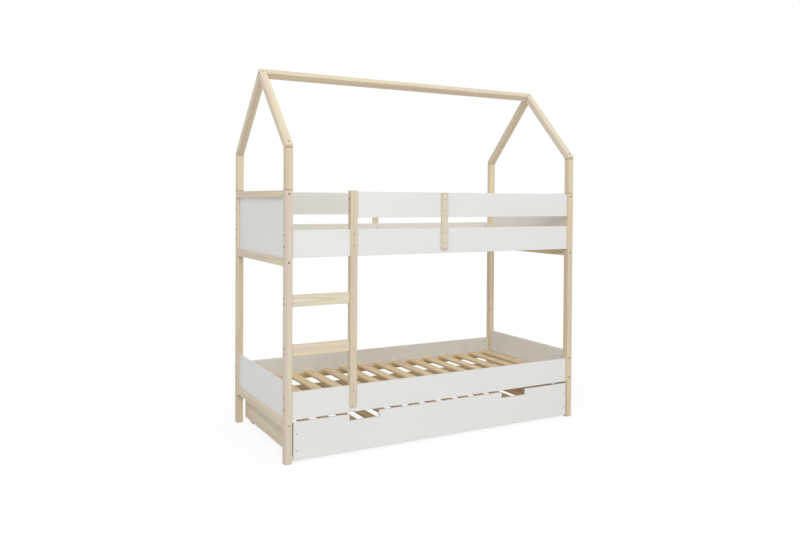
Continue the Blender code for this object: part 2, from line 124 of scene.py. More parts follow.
class Socket:
    """One output of a node, which can be used in sums."""

    __add__ = __radd__ = adds("ADD")
    __sub__, __rsub__ = adds("SUBTRACT"), adds("SUBTRACT", swapped=True)
    __mul__ = __rmul__ = adds("MULTIPLY")
    __truediv__, __rtruediv__ = adds("DIVIDE"), adds("DIVIDE", swapped=True)
    __pow__ = adds("POWER")
    __abs__ = adds("ABSOLUTE")

    def __init__(self, graph, output):
        self.graph = graph
        self.output = output

    def other(self, name):
        """Another output of the same node."""
        return Socket(self.graph, self.output.node.outputs[name])


# %% [markdown]
# ## Trees of nodes
#
# Shader trees and Geometry Nodes trees are built alike: add a node, set its options, then fill
# or link its sockets. One method does all three, so every node in this file is made in one line.
# Options come first, because some of them, such as a Mix node's data type, change the sockets.
# A few sockets, such as Join Geometry's, take many links, and are given a list.

# %% A tree of nodes
class Graph:
    """A node tree, with one method that adds any node."""

    def __init__(self, tree):
        self.tree = tree
        tree.nodes.clear()

    def node(self, kind, settings=None, values=None, output=0):
        """Add a node, set its options and then its sockets, and give back one output."""
        made = self.tree.nodes.new(kind)
        for name, value in (settings or {}).items():
            if name == "stops":
                set_stops(made.color_ramp, value)
            else:
                setattr(made, name, value)
        for name, value in (values or {}).items():
            if isinstance(value, (Socket, list)):
                for socket in value if isinstance(value, list) else [value]:
                    self.tree.links.new(socket.output, made.inputs[name])
            else:
                made.inputs[name].default_value = value
        return Socket(self, made.outputs[output]) if made.outputs else made

    def maths(self, operation, *numbers):
        return self.node("ShaderNodeMath", {"operation": operation}, dict(enumerate(numbers)))

    def vector_maths(self, operation, *vectors, output=0):
        settings = {"operation": operation}
        return self.node("ShaderNodeVectorMath", settings, dict(enumerate(vectors)), output)

    def vector(self, **numbers):
        """A vector made from numbers named X, Y and Z."""
        return self.node("ShaderNodeCombineXYZ", None, numbers)

    def axes(self, vector):
        """The three numbers in a vector."""
        x = self.node("ShaderNodeSeparateXYZ", None, {"Vector": vector})
        return x, x.other("Y"), x.other("Z")


def set_stops(ramp, stops):
    """Give a colour ramp its stops: (position, grey value)."""
    while len(ramp.elements) < len(stops):
        ramp.elements.new(0.5)
    for element, (position, grey) in zip(ramp.elements, stops):
        element.position = position
        element.color = (grey, grey, grey, 1)


# %% [markdown]
# A finish is a shader tree with a few words of its own. `fade` turns a distance into a soft mask,
# `noise` stretches a cloud pattern along the grain, and `mix` blends two colours. The last one,
# `surface`, plugs the results into a Principled BSDF, and puts the height through a Bump node.
# Every pattern below is described by one cloud: its stretch along X, Y and Z, where a larger
# number is finer, an offset that keeps it apart from the others, and its level of detail.

# %% A finish
class Finish(Graph):
    """A material, built from its colour, roughness and height."""

    def __init__(self, name):
        self.material = bpy.data.materials.new(name)
        self.material.use_nodes = True
        super().__init__(self.material.node_tree)

    def coordinate(self, kind="Object"):
        """The point being shaded, or the way it faces where kind is Normal."""
        return self.node("ShaderNodeTexCoord", None, None, kind)

    def fade(self, value, start, end):
        """0 where value is at start, 1 where it is at end, with soft ends."""
        settings = {"interpolation_type": "SMOOTHSTEP"}
        values = {"Value": value, "From Min": start, "From Max": end}
        return self.node("ShaderNodeMapRange", settings, values)

    def noise(self, place, cloud, shift=0.0):
        """A cloud pattern from 0 to 1. The shift gives each piece its own part of it."""
        stretch, offset, detail = cloud
        moved = self.vector_maths("MULTIPLY_ADD", place, stretch, (shift + offset,) * 3)
        values = {"Vector": moved, "Scale": 1.0, "Detail": detail}
        return self.node("ShaderNodeTexNoise", None, values)

    def mix(self, factor, first, second, blend="MIX"):
        settings = {"data_type": "RGBA", "blend_type": blend}
        return self.node("ShaderNodeMix", settings, {0: factor, 6: first, 7: second}, 2)

    def smaller(self, first, second):
        return self.maths("MINIMUM", first, second)

    def larger(self, first, second):
        return self.maths("MAXIMUM", first, second)

    def surface(self, colour, roughness, height, relief, **constants):
        """Finish the material. Relief is the bump's depth, and constants go on the shader."""
        values = {"Height": height, "Distance": relief, "Strength": 1.0}
        normal = self.node("ShaderNodeBump", None, values)
        sockets = {"Base Color": colour, "Roughness": roughness, "Normal": normal}
        sockets.update(constants)
        shader = self.node("ShaderNodeBsdfPrincipled", None, sockets)
        self.node("ShaderNodeOutputMaterial", None, {"Surface": shader})
        return self.material


def paint(red, green, blue):
    """A colour given from 0 to 255, as the linear values that shaders work in."""
    shares = (value / 255 for value in (red, green, blue))
    linear = [v / 12.92 if v < 0.04045 else ((v + 0.055) / 1.055) ** 2.4 for v in shares]
    return (*linear, 1.0)


# %% [markdown]
# ## Which way the grain runs
#
# Every board is cut along the tree, so its pattern has to run along its own length. Each piece
# gets a small frame of its own: local Z along the grain, the middle of the piece at 0. The
# rafters lean at the pitch of the roof, and the ridge is turned on edge between them, so both get
# their own turn.

# %% The grain's direction in each piece
ROOF_PITCH = math.radians(45)


def grain_turn(name):
    """The turn that takes local Z along a piece's grain."""
    if name.startswith("rafter"):
        lean = -ROOF_PITCH if "front" in name else ROOF_PITCH
        return Matrix.Rotation(lean, 3, "X")
    low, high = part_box(name)
    size = high - low
    if size.x >= max(size.y, size.z):
        on_edge = ROOF_PITCH if name == "ridge" else 0.0
        return Matrix.Rotation(on_edge, 3, "X") @ Matrix.Rotation(math.radians(90), 3, "Y")
    if size.y >= size.z:
        return Matrix.Rotation(math.radians(-90), 3, "X")
    return Matrix.Identity(3)


def grain_box(name):
    """A piece's turn, middle and half size, measured along its own grain."""
    turn = grain_turn(name)
    points = [turn.inverted() @ vertex.co for vertex in NODES[name].data.vertices]
    low = Vector(min(point[axis] for point in points) for axis in range(3))
    high = Vector(max(point[axis] for point in points) for axis in range(3))
    return turn, turn @ ((low + high) / 2), (high - low) / 2


for name in ("lower_post_front_left", "ridge", "rafter_front_left"):
    print(name, "half size along its grain:", [round(v, 4) for v in grain_box(name)[2]])

# %% [markdown]
# In the shader, a Mapping node in its Texture mode takes Object coordinates into that frame. Two
# more measures come from the shape itself: how far the surface faces along the grain, which
# tells end grain from side grain, and how near the closest edge is, where a finish wears first.

# %% The same frame in the shader
def in_grain(finish, turn, middle):
    """Object coordinates, taken into a piece's own frame."""
    values = {"Vector": finish.coordinate(), "Location": middle, "Rotation": turn.to_euler()}
    return finish.node("ShaderNodeMapping", {"vector_type": "TEXTURE"}, values)


def facing(finish, direction):
    """How far the surface faces along a direction, from 0 to 1."""
    normal = finish.coordinate("Normal")
    return abs(finish.vector_maths("DOT_PRODUCT", normal, direction, output="Value"))


def edge_distance(finish, place, half):
    """Distance to a piece's nearest edge. On a face, one of the three distances is 0."""
    a, b, c = (reach - abs(axis) for reach, axis in zip(half, finish.axes(place)))
    inner = finish.smaller(finish.larger(a, b), c)
    return finish.larger(finish.smaller(a, b), inner)


# %% [markdown]
# ## Pine
#
# The timbers are planed pine under a clear matt lacquer. A tree adds a ring each year: pale
# early wood, then a narrow darker band that stops sharply. A post is a square stick cut from
# that tree, usually away from its heart, so the rings are slices through a nest of tubes. Drawing
# the tubes, and letting the surface cut them, gives stripes on one face, wide arches on the next
# and arcs on the end grain, all matching round the corners. A flat wood picture couldn't do that.

# %% The tree that a piece was cut from
PITH_NEAR, PITH_FAR = 0.035, 0.085  # how far the heart of the tree is from the piece's middle
TREE_LEAN = 0.012                   # the heart drifts sideways by this much per metre
SHIFT_SPAN = 40                     # how far apart two pieces' clouds can start


def tree_of(rng):
    """The heart's place beside the piece, how it leans, and the shift of the piece's clouds."""
    turn = rng.uniform(0, math.tau)
    reach = rng.uniform(PITH_NEAR, PITH_FAR)
    pith = (reach * math.cos(turn), reach * math.sin(turn))
    lean = (rng.uniform(-TREE_LEAN, TREE_LEAN), rng.uniform(-TREE_LEAN, TREE_LEAN))
    return pith, lean, rng.uniform(0, SHIFT_SPAN)


print("one tree's heart, lean and shift:", tree_of(random.Random(1)))

# %% [markdown]
# A knot is a branch that grew out from the heart, so it is a thin cone lying across the rings.
# Its distance from a point comes from two offsets, one across the branch and one up the tree.
# The rings bend round it, which is one more term in the distance from the heart.

# %% Knots
KNOT = paint(178, 140, 102)
KNOT_RIM = paint(150, 108, 74)
KNOT_FADE = (1.15, 0.85)            # where a knot's edge begins and ends, in knot sizes
RIM_FADE = (0.55, 0.95)             # and where its darker rim does
SWELL, SWELL_REACH = 2.2, 2.0       # how far the rings bend, and how widely, in knot sizes
FINE_RING = 0.0009                  # from ring to ring inside a knot
FINE_SHARE, RIM_SHARE, KNOT_SHARE = 0.35, 0.50, 0.55  # how strongly each one shows


def knot_parts(wood, x, y, z, pith, knot):
    """A knot's mask, its rim, and how far it pushes the rings out."""
    height, lean, size = knot
    angle = math.atan2(-pith[1], -pith[0]) + lean
    east, north = math.cos(angle), math.sin(angle)
    across = (y - pith[1]) * east - (x - pith[0]) * north
    up = z - height
    distance = (across * across + up * up) ** 0.5
    mask = wood.fade(distance, *(size * share for share in KNOT_FADE))
    rim = mask * wood.fade(distance, *(size * share for share in RIM_FADE))
    swell = size * SWELL / (1 + (distance / (size * SWELL_REACH)) ** 2)
    return mask, rim, swell


def colour_knots(wood, colour, radius, mask, rim):
    """Lay the knots' darker wood over a colour."""
    heart = wood.mix(wood.maths("FRACT", radius / FINE_RING) * FINE_SHARE, KNOT, KNOT_RIM)
    heart = wood.mix(rim * RIM_SHARE, heart, KNOT_RIM)
    return wood.mix(mask * KNOT_SHARE, colour, heart)


# %% [markdown]
# The rings come from the distance to the heart, divided by the width of one ring. A slow cloud
# makes them wander, because no tree is round, and the ramp gives each ring its slow rise to dark
# late wood and its sudden end.

# %% Rings
RING = 0.0034                       # from one ring to the next
RING_PROFILE = [(0.0, 0.10), (0.45, 0.14), (0.80, 0.80), (0.93, 1.0), (1.0, 0.10)]
SWAY = 0.010                        # how far the rings wander in and out
SWAY_CLOUD = ((9, 9, 1.6), 0, 2.0)


def tree_rings(wood, place, tree, knots):
    """Late wood from 0 to 1, the distance from the heart, and the knots' mask and rim."""
    pith, lean, shift = tree
    x, y, z = wood.axes(place)
    dx = x - z * lean[0] - pith[0]
    dy = y - z * lean[1] - pith[1]
    sway = (wood.noise(place, SWAY_CLOUD, shift) - 0.5) * SWAY
    radius = (dx * dx + dy * dy) ** 0.5 + sway
    mask, rim = 0.0, 0.0
    for knot in knots:
        one, edge, swell = knot_parts(wood, x, y, z, pith, knot)
        mask = wood.larger(mask, one)
        rim = wood.larger(rim, edge)
        radius = radius + swell
    phase = wood.maths("FRACT", radius / RING)
    late = wood.node("ShaderNodeValToRGB", {"stops": RING_PROFILE}, {"Fac": phase})
    return late, radius, mask, rim


# %% [markdown]
# Where a timber was sawn off, its end drinks in the lacquer and turns darker. The same raw wood
# shows as a thin line at each joint, and in patches along the edges, where hands have rubbed the
# lacquer thin. A rafter's foot is cut level, so its line follows the height and not the grain.

# %% Raw wood at ends, joints and edges
END_GRAIN = paint(184, 152, 114)
END_FADE = (0.45, 0.95)             # how squarely the surface faces along the grain
SEAM_FADE = (0.0045, 0.0010)        # how far from a joint its line begins and is full
WOOD_WEAR = (0.0028, 0.0006)        # and how far from an edge its wear does
WORN_CLOUD = ((60, 60, 14), 23, 2.0)
WORN_FADE = (0.42, 0.62)
RAW_SHARE, WORN_SHARE = 0.60, 0.25


def show_raw_wood(wood, colour, place, late, shift, half, along, foot):
    """Darken a timber's ends, joints and edges. foot is the height of a level cut."""
    end = wood.fade(facing(wood, along), *END_FADE)
    colour = wood.mix(end * RAW_SHARE, colour, wood.mix(late * 0.5, END_GRAIN, KNOT))
    seam = wood.fade(half[2] - abs(wood.axes(place)[2]), *SEAM_FADE)
    if foot is not None:
        level = wood.axes(wood.coordinate())[2]
        seam = wood.larger(seam, wood.fade(level - foot, *SEAM_FADE))
    colour = wood.mix(seam * RAW_SHARE, colour, END_GRAIN)
    worn = wood.fade(edge_distance(wood, place, half), *WOOD_WEAR)
    patchy = wood.fade(wood.noise(place, WORN_CLOUD, shift), *WORN_FADE)
    return wood.mix(worn * patchy * WORN_SHARE, colour, END_GRAIN)


# %% [markdown]
# Now the parts come together. Early and late wood give the rings, and broad and narrow streaks
# swing the tone between pink heartwood and yellow sapwood. Fibres, far finer than a ring, break
# the surface up. They and the hard late wood, which planing leaves a little proud, drive the
# bump and the roughness.

# %% Pine
EARLY_WOOD = paint(233, 225, 211)
LATE_WOOD = paint(207, 184, 152)
PINK_HEART = paint(255, 248, 245)
YELLOW_SAP = paint(255, 254, 234)
STRENGTH_CLOUD = ((30, 30, 2.0), 3, 2.0)
FIBRE_CLOUD = ((900, 900, 16), 7, 3.0)
STREAK_CLOUD = ((55, 55, 1.1), 11, 1.0)
BROAD_CLOUD = ((24, 24, 1.3), 19, 1.0)
PINE_CLOUDS = (STRENGTH_CLOUD, FIBRE_CLOUD, STREAK_CLOUD, BROAD_CLOUD)
FAINTEST, STRONGER = 0.25, 0.75     # the faintest ring, and how much stronger the others get
TONE_SPREAD = 0.03                  # how far one timber leans towards pink or yellow
PINK_FADE = (0.36, 0.64)
BRIGHTNESS, FIBRE_SHADE, STREAK_SHADE = 1.20, 0.10, 0.32
PINE_ROUGHNESS = 0.44
PINE_RELIEF = 0.00012
PINE_SHINE = {"Specular IOR Level": 0.45}


def pine_finish(name, place_of, seed, knots, coat, half=None, along=None, foot=None):
    """Planed pine. place_of gives the point in the grain's frame, and coat multiplies it all."""
    rng = random.Random(seed)
    tree = tree_of(rng)
    tone = rng.uniform(-TONE_SPREAD, TONE_SPREAD)
    shift = tree[2]
    wood = Finish(name)
    place = place_of(wood)
    late, radius, mask, rim = tree_rings(wood, place, tree, knots)
    strength, fibre, streak, broad = (wood.noise(place, cloud, shift) for cloud in PINE_CLOUDS)
    colour = wood.mix(late * (FAINTEST + strength * STRONGER), EARLY_WOOD, LATE_WOOD)
    pink = wood.fade(streak * 0.6 + broad * 0.4 + tone, *PINK_FADE)
    tint = wood.mix(pink, YELLOW_SAP, PINK_HEART)
    shade = BRIGHTNESS - fibre * FIBRE_SHADE - streak * STREAK_SHADE
    for layer in (tint, shade, coat):
        colour = wood.mix(1.0, colour, layer, "MULTIPLY")
    if knots:
        colour = colour_knots(wood, colour, radius, mask, rim)
    if along is not None:
        colour = show_raw_wood(wood, colour, place, late, shift, half, along, foot)
    roughness = PINE_ROUGHNESS + fibre * 0.12 - late * 0.06 + broad * 0.06
    height = late * 0.5 + fibre * 0.5
    return wood.surface(colour, roughness, height, PINE_RELIEF, **PINE_SHINE)


print("pine, linear: early", EARLY_WOOD[:3], "late", LATE_WOOD[:3])

# %% [markdown]
# ## White lacquer
#
# The side boards and the end panels are sprayed white with a satin lacquer. White paint is never
# one white: it is a little warmer where it is thin, its sheen varies in broad patches, and the
# spray leaves a skin like orange peel, less than a tenth of a millimetre deep. Along the edges
# the coat pulls thin, and the cream primer shows through in places. The narrow top and bottom
# faces are also tinted cream, a painted reflection of the warm light that they catch.

# %% White lacquer
WHITE = paint(238, 238, 236)
WARM_WHITE = paint(236, 236, 232)
PRIMER = paint(226, 214, 196)
PATCH_CLOUD = ((5, 5, 2.2), 0, 2.0)
STROKE_CLOUD = ((120, 120, 5), 5, 3.0)
PEEL_CLOUD = ((620, 620, 620), 9, 2.0)
THIN_CLOUD = ((45, 45, 12), 13, 2.0)
PATCH_FADE, THIN_FADE = (0.30, 0.70), (0.40, 0.64)
LACQUER_WEAR = (0.0024, 0.0005)     # how far from an edge its wear begins and is full
# Painted reflection: the next two set the cream tint on the top and bottom faces of a board.
REFLECTION_FADE = (0.50, 0.95)          # how squarely the surface faces along edge_face
CHIP_SHARE, REFLECTION_SHARE = 0.55, 0.28
STROKE_LIGHT, STROKE_SHADE = 1.008, 0.016  # brightness where a stroke is thin, and its shade
LACQUER_ROUGHNESS = 0.34
PEEL_RELIEF = 0.00005
LACQUER_SHINE = {"Specular IOR Level": 0.5}


def lacquer_finish(name, turn, middle, half, seed, edge_face):
    """Satin white lacquer on a board. edge_face is the direction that its long edges face."""
    shift = random.Random(seed).uniform(0, SHIFT_SPAN)
    coat = Finish(name)
    place = in_grain(coat, turn, middle)
    patches = coat.noise(place, PATCH_CLOUD, shift)
    strokes = coat.noise(place, STROKE_CLOUD, shift)
    peel = coat.noise(place, PEEL_CLOUD, shift)
    colour = coat.mix(coat.fade(patches, *PATCH_FADE), WHITE, WARM_WHITE)
    colour = coat.mix(1.0, colour, STROKE_LIGHT - strokes * STROKE_SHADE, "MULTIPLY")
    worn = coat.fade(edge_distance(coat, place, half), *LACQUER_WEAR)
    thin = coat.fade(coat.noise(place, THIN_CLOUD, shift), *THIN_FADE)
    colour = coat.mix(worn * thin * CHIP_SHARE, colour, PRIMER)
    # Painted reflection: the faces along edge_face, the top and bottom edges, are tinted cream.
    painted_reflection = coat.fade(facing(coat, edge_face), *REFLECTION_FADE)
    colour = coat.mix(painted_reflection * REFLECTION_SHARE, colour, PRIMER)
    roughness = LACQUER_ROUGHNESS + patches * 0.10 + strokes * 0.08 + worn * 0.08
    height = peel * 0.7 + strokes * 0.3
    return coat.surface(colour, roughness, height, PEEL_RELIEF, **LACQUER_SHINE)


print("white, linear:", WHITE[:3])

# %% [markdown]
# ## Plastic
#
# The castors are moulded nylon with a fine spark-eroded texture, and their wheels pick up dust
# on the tread. The dust is a mask that grows with the distance from the axle.

# %% Moulded plastic
GRIT_CLOUD = ((1800, 1800, 1800), 0, 3.0)
DUST_CLOUD = ((70, 70, 70), 5, 3.0)
DUST_FADE = (0.35, 0.65)
TREAD = 0.90                        # dust begins at this share of the radius
HAZE_SHARE, DUST_SHARE = 0.20, 0.30
PLASTIC_ROUGHNESS = 0.42
GRIT_RELIEF = 0.00006


def moulded_finish(name, base, dust, centre, radius, seed):
    """Moulded plastic. Dust gathers towards radius, measured from centre in the Y-Z plane."""
    shift = random.Random(seed).uniform(0, SHIFT_SPAN)
    skin = Finish(name)
    place = skin.coordinate()
    grit = skin.noise(place, GRIT_CLOUD, shift)
    haze = skin.noise(place, DUST_CLOUD, shift)
    _, y, z = skin.axes(place)
    dy, dz = y - centre.y, z - centre.z
    reach = (dy * dy + dz * dz) ** 0.5
    tread = skin.fade(reach, radius * TREAD, radius) * skin.fade(haze, *DUST_FADE)
    colour = skin.mix(haze * HAZE_SHARE, base, dust)
    colour = skin.mix(tread * DUST_SHARE, colour, dust)
    roughness = PLASTIC_ROUGHNESS + grit * 0.14 + tread * 0.22
    return skin.surface(colour, roughness, grit, GRIT_RELIEF)


# %% [markdown]
# ## Metal
#
# The bolts and barrel nuts have a dark chemical finish that wears bright in patches, and the
# screws are plated. Plastic and metal are told apart by how they shine far more than by their
# colour, so the scratches drive the roughness as well as the colour.

# %% Metal
SCRATCH_CLOUD = ((2600, 700, 1500), 3.0, 4.0)
TARNISH_CLOUD = ((240, 240, 240), 9.0, 2.0)
BRIGHT_FADE = (0.48, 0.66)
SCRATCH_RELIEF = 0.00002


def metal_finish(name, base, worn, smooth):
    """Plated or darkened steel, with fine scratches."""
    steel = Finish(name)
    place = steel.coordinate()
    scratch = steel.noise(place, SCRATCH_CLOUD)
    tarnish = steel.noise(place, TARNISH_CLOUD)
    colour = steel.mix(steel.fade(scratch * 0.5 + tarnish * 0.5, *BRIGHT_FADE), base, worn)
    roughness = smooth + scratch * 0.22
    return steel.surface(colour, roughness, scratch, SCRATCH_RELIEF, Metallic=1.0)


DARK_STEEL = metal_finish("darkened_steel", paint(78, 68, 58), paint(136, 124, 108), 0.34)
PLATED = metal_finish("plated_steel", paint(98, 86, 72), paint(142, 130, 114), 0.28)
print("metal finishes:", DARK_STEEL.name, PLATED.name)

# %% [markdown]
# ## Marks of single timbers
#
# Timbers from one stack still differ. Some were cut nearer the bark or took up the lacquer
# otherwise, so a coat multiplies the colour of those that look paler, pinker, duller or more
# golden than the rest. Two coats are painted light: the back right posts are brightened as if
# more light reached them, and the front right rafter is made paler and cooler as if lit strongly
# from above. The front left and the back right post each show one branch, at the heights below,
# and the front right post shows none.

# %% Coats and knots that were seen
LACQUERED = (1.0, 1.0, 1.0, 1.0)    # most timbers, unchanged
PALE = (0.99, 1.02, 1.08, 1.0)
PINK = (0.97, 0.97, 1.05, 1.0)
DULL = (0.93, 0.92, 0.93, 1.0)
GOLDEN = (0.985, 0.975, 0.905, 1.0)
# Painted light: the back right posts are brightened, as if more light reached them inside the bed.
PAINTED_FILL_LIGHT = (1.10, 1.09, 1.05, 1.0)
# Painted highlight: the front right rafter is made paler and cooler, as if lit strongly from above.
PAINTED_TOP_LIGHT = (1.07, 1.10, 1.17, 1.0)    # brighter and cooler at once
SEEN_COATS_AND_LIGHT = {
    "batten_front": PALE,
    "ladder_rung_upper": PALE,
    "lower_post_front_left": PINK,
    "ladder_stringer": DULL,
    "lower_post_front_right": GOLDEN,
    "upper_post_front_left": GOLDEN,
    "lower_post_back_right": PAINTED_FILL_LIGHT,
    "upper_post_back_right": PAINTED_FILL_LIGHT,
    "rafter_front_right": PAINTED_TOP_LIGHT,
}
SEEN_KNOTS = {                      # height above the floor and size
    "lower_post_front_left": [(0.545, 0.0060)],
    "lower_post_back_right": [(0.627, 0.0065)],
    "lower_post_front_right": [],
}
SEEN_LEAN = 0.1                     # a branch's turn round the heart, off the piece's middle
print("timbers with a coat of their own:", len(SEEN_COATS_AND_LIGHT))

# %% [markdown]
# ## Dress the solids
#
# The record says which finish each solid has. Every timber gets a material of its own with its
# own seed, because two posts from one tree still show different rings. Long timbers without a
# branch of their own above get one at a random place.

# %% Dress the timbers
LONG_TIMBER = 0.9                   # a timber longer than this has a knot
KNOT_SIZES = (0.0050, 0.0085)
KNOT_LEAN = 0.25                    # the most that a branch turns off the piece's middle
KNOT_REACH = 0.85                   # knots stay within this share of the half length


def scatter_knots(rng, half, count):
    """Knots spread along a piece: (place along the grain, lean, size)."""
    reach = half[2] * KNOT_REACH
    return [
        (rng.uniform(-reach, reach), rng.uniform(-KNOT_LEAN, KNOT_LEAN), rng.uniform(*KNOT_SIZES))
        for _ in range(count)
    ]


def dress_pine(name, seed):
    turn, middle, half = grain_box(name)
    rng = random.Random(seed * 7 + 1)  # apart from the numbers that pine_finish draws
    knots = scatter_knots(rng, half, 1 if half[2] * 2 > LONG_TIMBER else 0)
    if name in SEEN_KNOTS:
        knots = [(height - middle.z, SEEN_LEAN, size) for height, size in SEEN_KNOTS[name]]
    along = turn @ Vector((0, 0, 1))
    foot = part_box(name)[0].z if name.startswith("rafter") else None
    # A coat is a timber's own tone, and on the back right posts and the front right rafter painted
    # light.
    coat = SEEN_COATS_AND_LIGHT.get(name, LACQUERED)

    def place_of(finish):
        return in_grain(finish, turn, middle)

    return pine_finish(name + "_pine", place_of, seed, knots, coat, half, along, foot)


# %% [markdown]
# Boards and castors need less. A board's long edges face up and down, and a castor's dust is
# measured from the middle of its box. One loop then dresses every solid by its slot. The slatted
# bases are left out here, because separate slats take their place below.

# %% Dress the boards and castors
NYLON = paint(34, 34, 35)
DUST = paint(104, 99, 92)


def dress_white(name, seed):
    turn, middle, half = grain_box(name)
    return lacquer_finish(name + "_white", turn, middle, half, seed, Vector((0, 0, 1)))


def dress_plastic(name, seed):
    low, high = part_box(name)
    radius = (high.z - low.z) / 2
    return moulded_finish(name + "_plastic", NYLON, DUST, (low + high) / 2, radius, seed)


DRESS = {
    "pine": dress_pine,
    "white_board": dress_white,
    "white_panel": dress_white,
    "castor_plastic": dress_plastic,
    "wheel_plastic": dress_plastic,
}
for seed, name in enumerate(sorted(NODES)):
    if SLOTS[name] in DRESS:
        NODES[name].material_slots[0].material = DRESS[SLOTS[name]](name, seed)
print("materials made:", len(bpy.data.materials))

# %% [markdown]
# ## Recipes
#
# Slats, bolts and screws repeat, so each kind is described once, as a Geometry Nodes tree with
# named inputs for its sizes. The tree is put on a cloud of points, evaluated, and kept as a plain
# mesh, because a file for another program can't carry instances.

# %% A Geometry Nodes recipe
def add_object(name, data):
    """An object in the scene, with this mesh, lamp or camera."""
    made = bpy.data.objects.new(name, data)
    bpy.context.scene.collection.objects.link(made)
    return made


class Recipe(Graph):
    """A Geometry Nodes tree with named inputs, which makes plain meshes."""

    SOCKETS = {float: "NodeSocketFloat", int: "NodeSocketInt", str: "NodeSocketMaterial"}

    def __init__(self, name, **inputs):
        super().__init__(bpy.data.node_groups.new(name, "GeometryNodeTree"))
        self.inputs = {}
        face = self.tree.interface
        face.new_socket("Geometry", in_out="INPUT", socket_type="NodeSocketGeometry")
        face.new_socket("Geometry", in_out="OUTPUT", socket_type="NodeSocketGeometry")
        for label, kind in inputs.items():
            made = face.new_socket(label, in_out="INPUT", socket_type=self.SOCKETS[kind])
            self.inputs[label] = made.identifier
        self.group = self.node("NodeGroupInput")

    def given(self, label):
        """The recipe's own input of that name."""
        return self.group.other(label)

    def luck(self):
        """A random number from 0 to 1 for each point, from the recipe's seed."""
        values = {"ID": self.node("GeometryNodeInputIndex"), "Seed": self.given("Seed")}
        return self.node("FunctionNodeRandomValue", {"data_type": "FLOAT"}, values, 1)

    def copies(self, points, shape, **turned):
        """The shape on each point."""
        values = {"Points": points, "Instance": shape, **turned}
        return self.node("GeometryNodeInstanceOnPoints", None, values)

    def raised(self, shape, height):
        """The shape, moved along Z."""
        values = {"Geometry": shape, "Translation": self.vector(Z=height)}
        return self.node("GeometryNodeTransform", None, values)

    def store(self, shape, name, value, **settings):
        """The shape, with a value stored on it as an attribute."""
        values = {"Geometry": shape, "Name": name, "Value": value}
        return self.node("GeometryNodeStoreNamedAttribute", settings, values)

    def finish(self, shape):
        """End the recipe: instances made real, and one material on it all."""
        real = self.node("GeometryNodeRealizeInstances", None, {"Geometry": shape})
        values = {"Geometry": real, "Material": self.given("Finish")}
        dressed = self.node("GeometryNodeSetMaterial", None, values)
        self.node("NodeGroupOutput", None, {"Geometry": dressed})

    def make(self, name, mesh, body, **values):
        """Run the recipe on a mesh, and keep the result as a plain piece on a body."""
        source = add_object(name + "_source", mesh)
        modifier = source.modifiers.new("recipe", "NODES")
        modifier.node_group = self.tree
        for label, value in values.items():
            modifier[self.inputs[label]] = value
        bpy.context.view_layer.update()
        shown = source.evaluated_get(bpy.context.evaluated_depsgraph_get())
        piece = add_object(name, bpy.data.meshes.new_from_object(shown))
        source.modifiers.remove(modifier)
        bpy.data.objects.remove(source, do_unlink=True)
        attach(piece, body)
        print(name, "faces:", len(piece.data.polygons))
        return piece


# %% [markdown]
# A recipe is run on loose points, one for each copy. Every point also says which way its copy
# faces, as an attribute that the recipe can read by its name.

# %% A cloud of points
UP, FORWARD = Vector((0, 0, 1)), Vector((0, -1, 0))


def spot(x, y, z, outward):
    """A point, and the way that what stands on it faces."""
    return Vector((x, y, z)), outward


def point_cloud(name, points):
    """A mesh of loose points, each with the way it faces."""
    mesh = bpy.data.meshes.new(name)
    mesh.from_pydata([place for place, _ in points], [], [])
    facings = mesh.attributes.new("facing", "FLOAT_VECTOR", "POINT")
    for item, (_, outward) in zip(facings.data, points):
        item.vector = outward
    return mesh


# %% [markdown]
# ## Slats
#
# Each bunk lies on a row of pine slats, screwed to a ledger along each side board. The solids
# hold each row as one piece. Here a row is made again as separate slats: a rounded rectangle
# swept along a line, and copied to a point for each slat. The bar also stores its own grain
# coordinates as an attribute, in an order that puts the grain last.

# %% A rounded bar
SLAT_EDGE = 0.0015                  # how far a slat's long edges are rounded


def swept_bar(recipe, width, height, start, end, grain):
    """A rounded bar swept from start to end, which stores its grain coordinates."""
    values = {"Width": width, "Height": height}
    outline = recipe.node("GeometryNodeCurvePrimitiveQuadrilateral", None, values)
    values = {"Curve": outline, "Count": 2, "Radius": SLAT_EDGE}
    outline = recipe.node("GeometryNodeFilletCurve", {"mode": "POLY"}, values)
    line = recipe.node("GeometryNodeCurvePrimitiveLine", None, {"Start": start, "End": end})
    values = {"Curve": line, "Profile Curve": outline, "Fill Caps": True}
    bar = recipe.node("GeometryNodeCurveToMesh", None, values)
    parts = dict(zip("xyz", recipe.axes(recipe.node("GeometryNodeInputPosition"))))
    place = recipe.vector(**dict(zip("XYZ", (parts[axis] for axis in grain))))
    return recipe.store(bar, "grain", place, data_type="FLOAT_VECTOR", domain="POINT")


# %% [markdown]
# Two ledgers lie beneath the slats' ends. Everything is joined while it is still instances, so
# that each slat and ledger can be given one random number of its own. One material can then take
# every slat from another part of the tree.

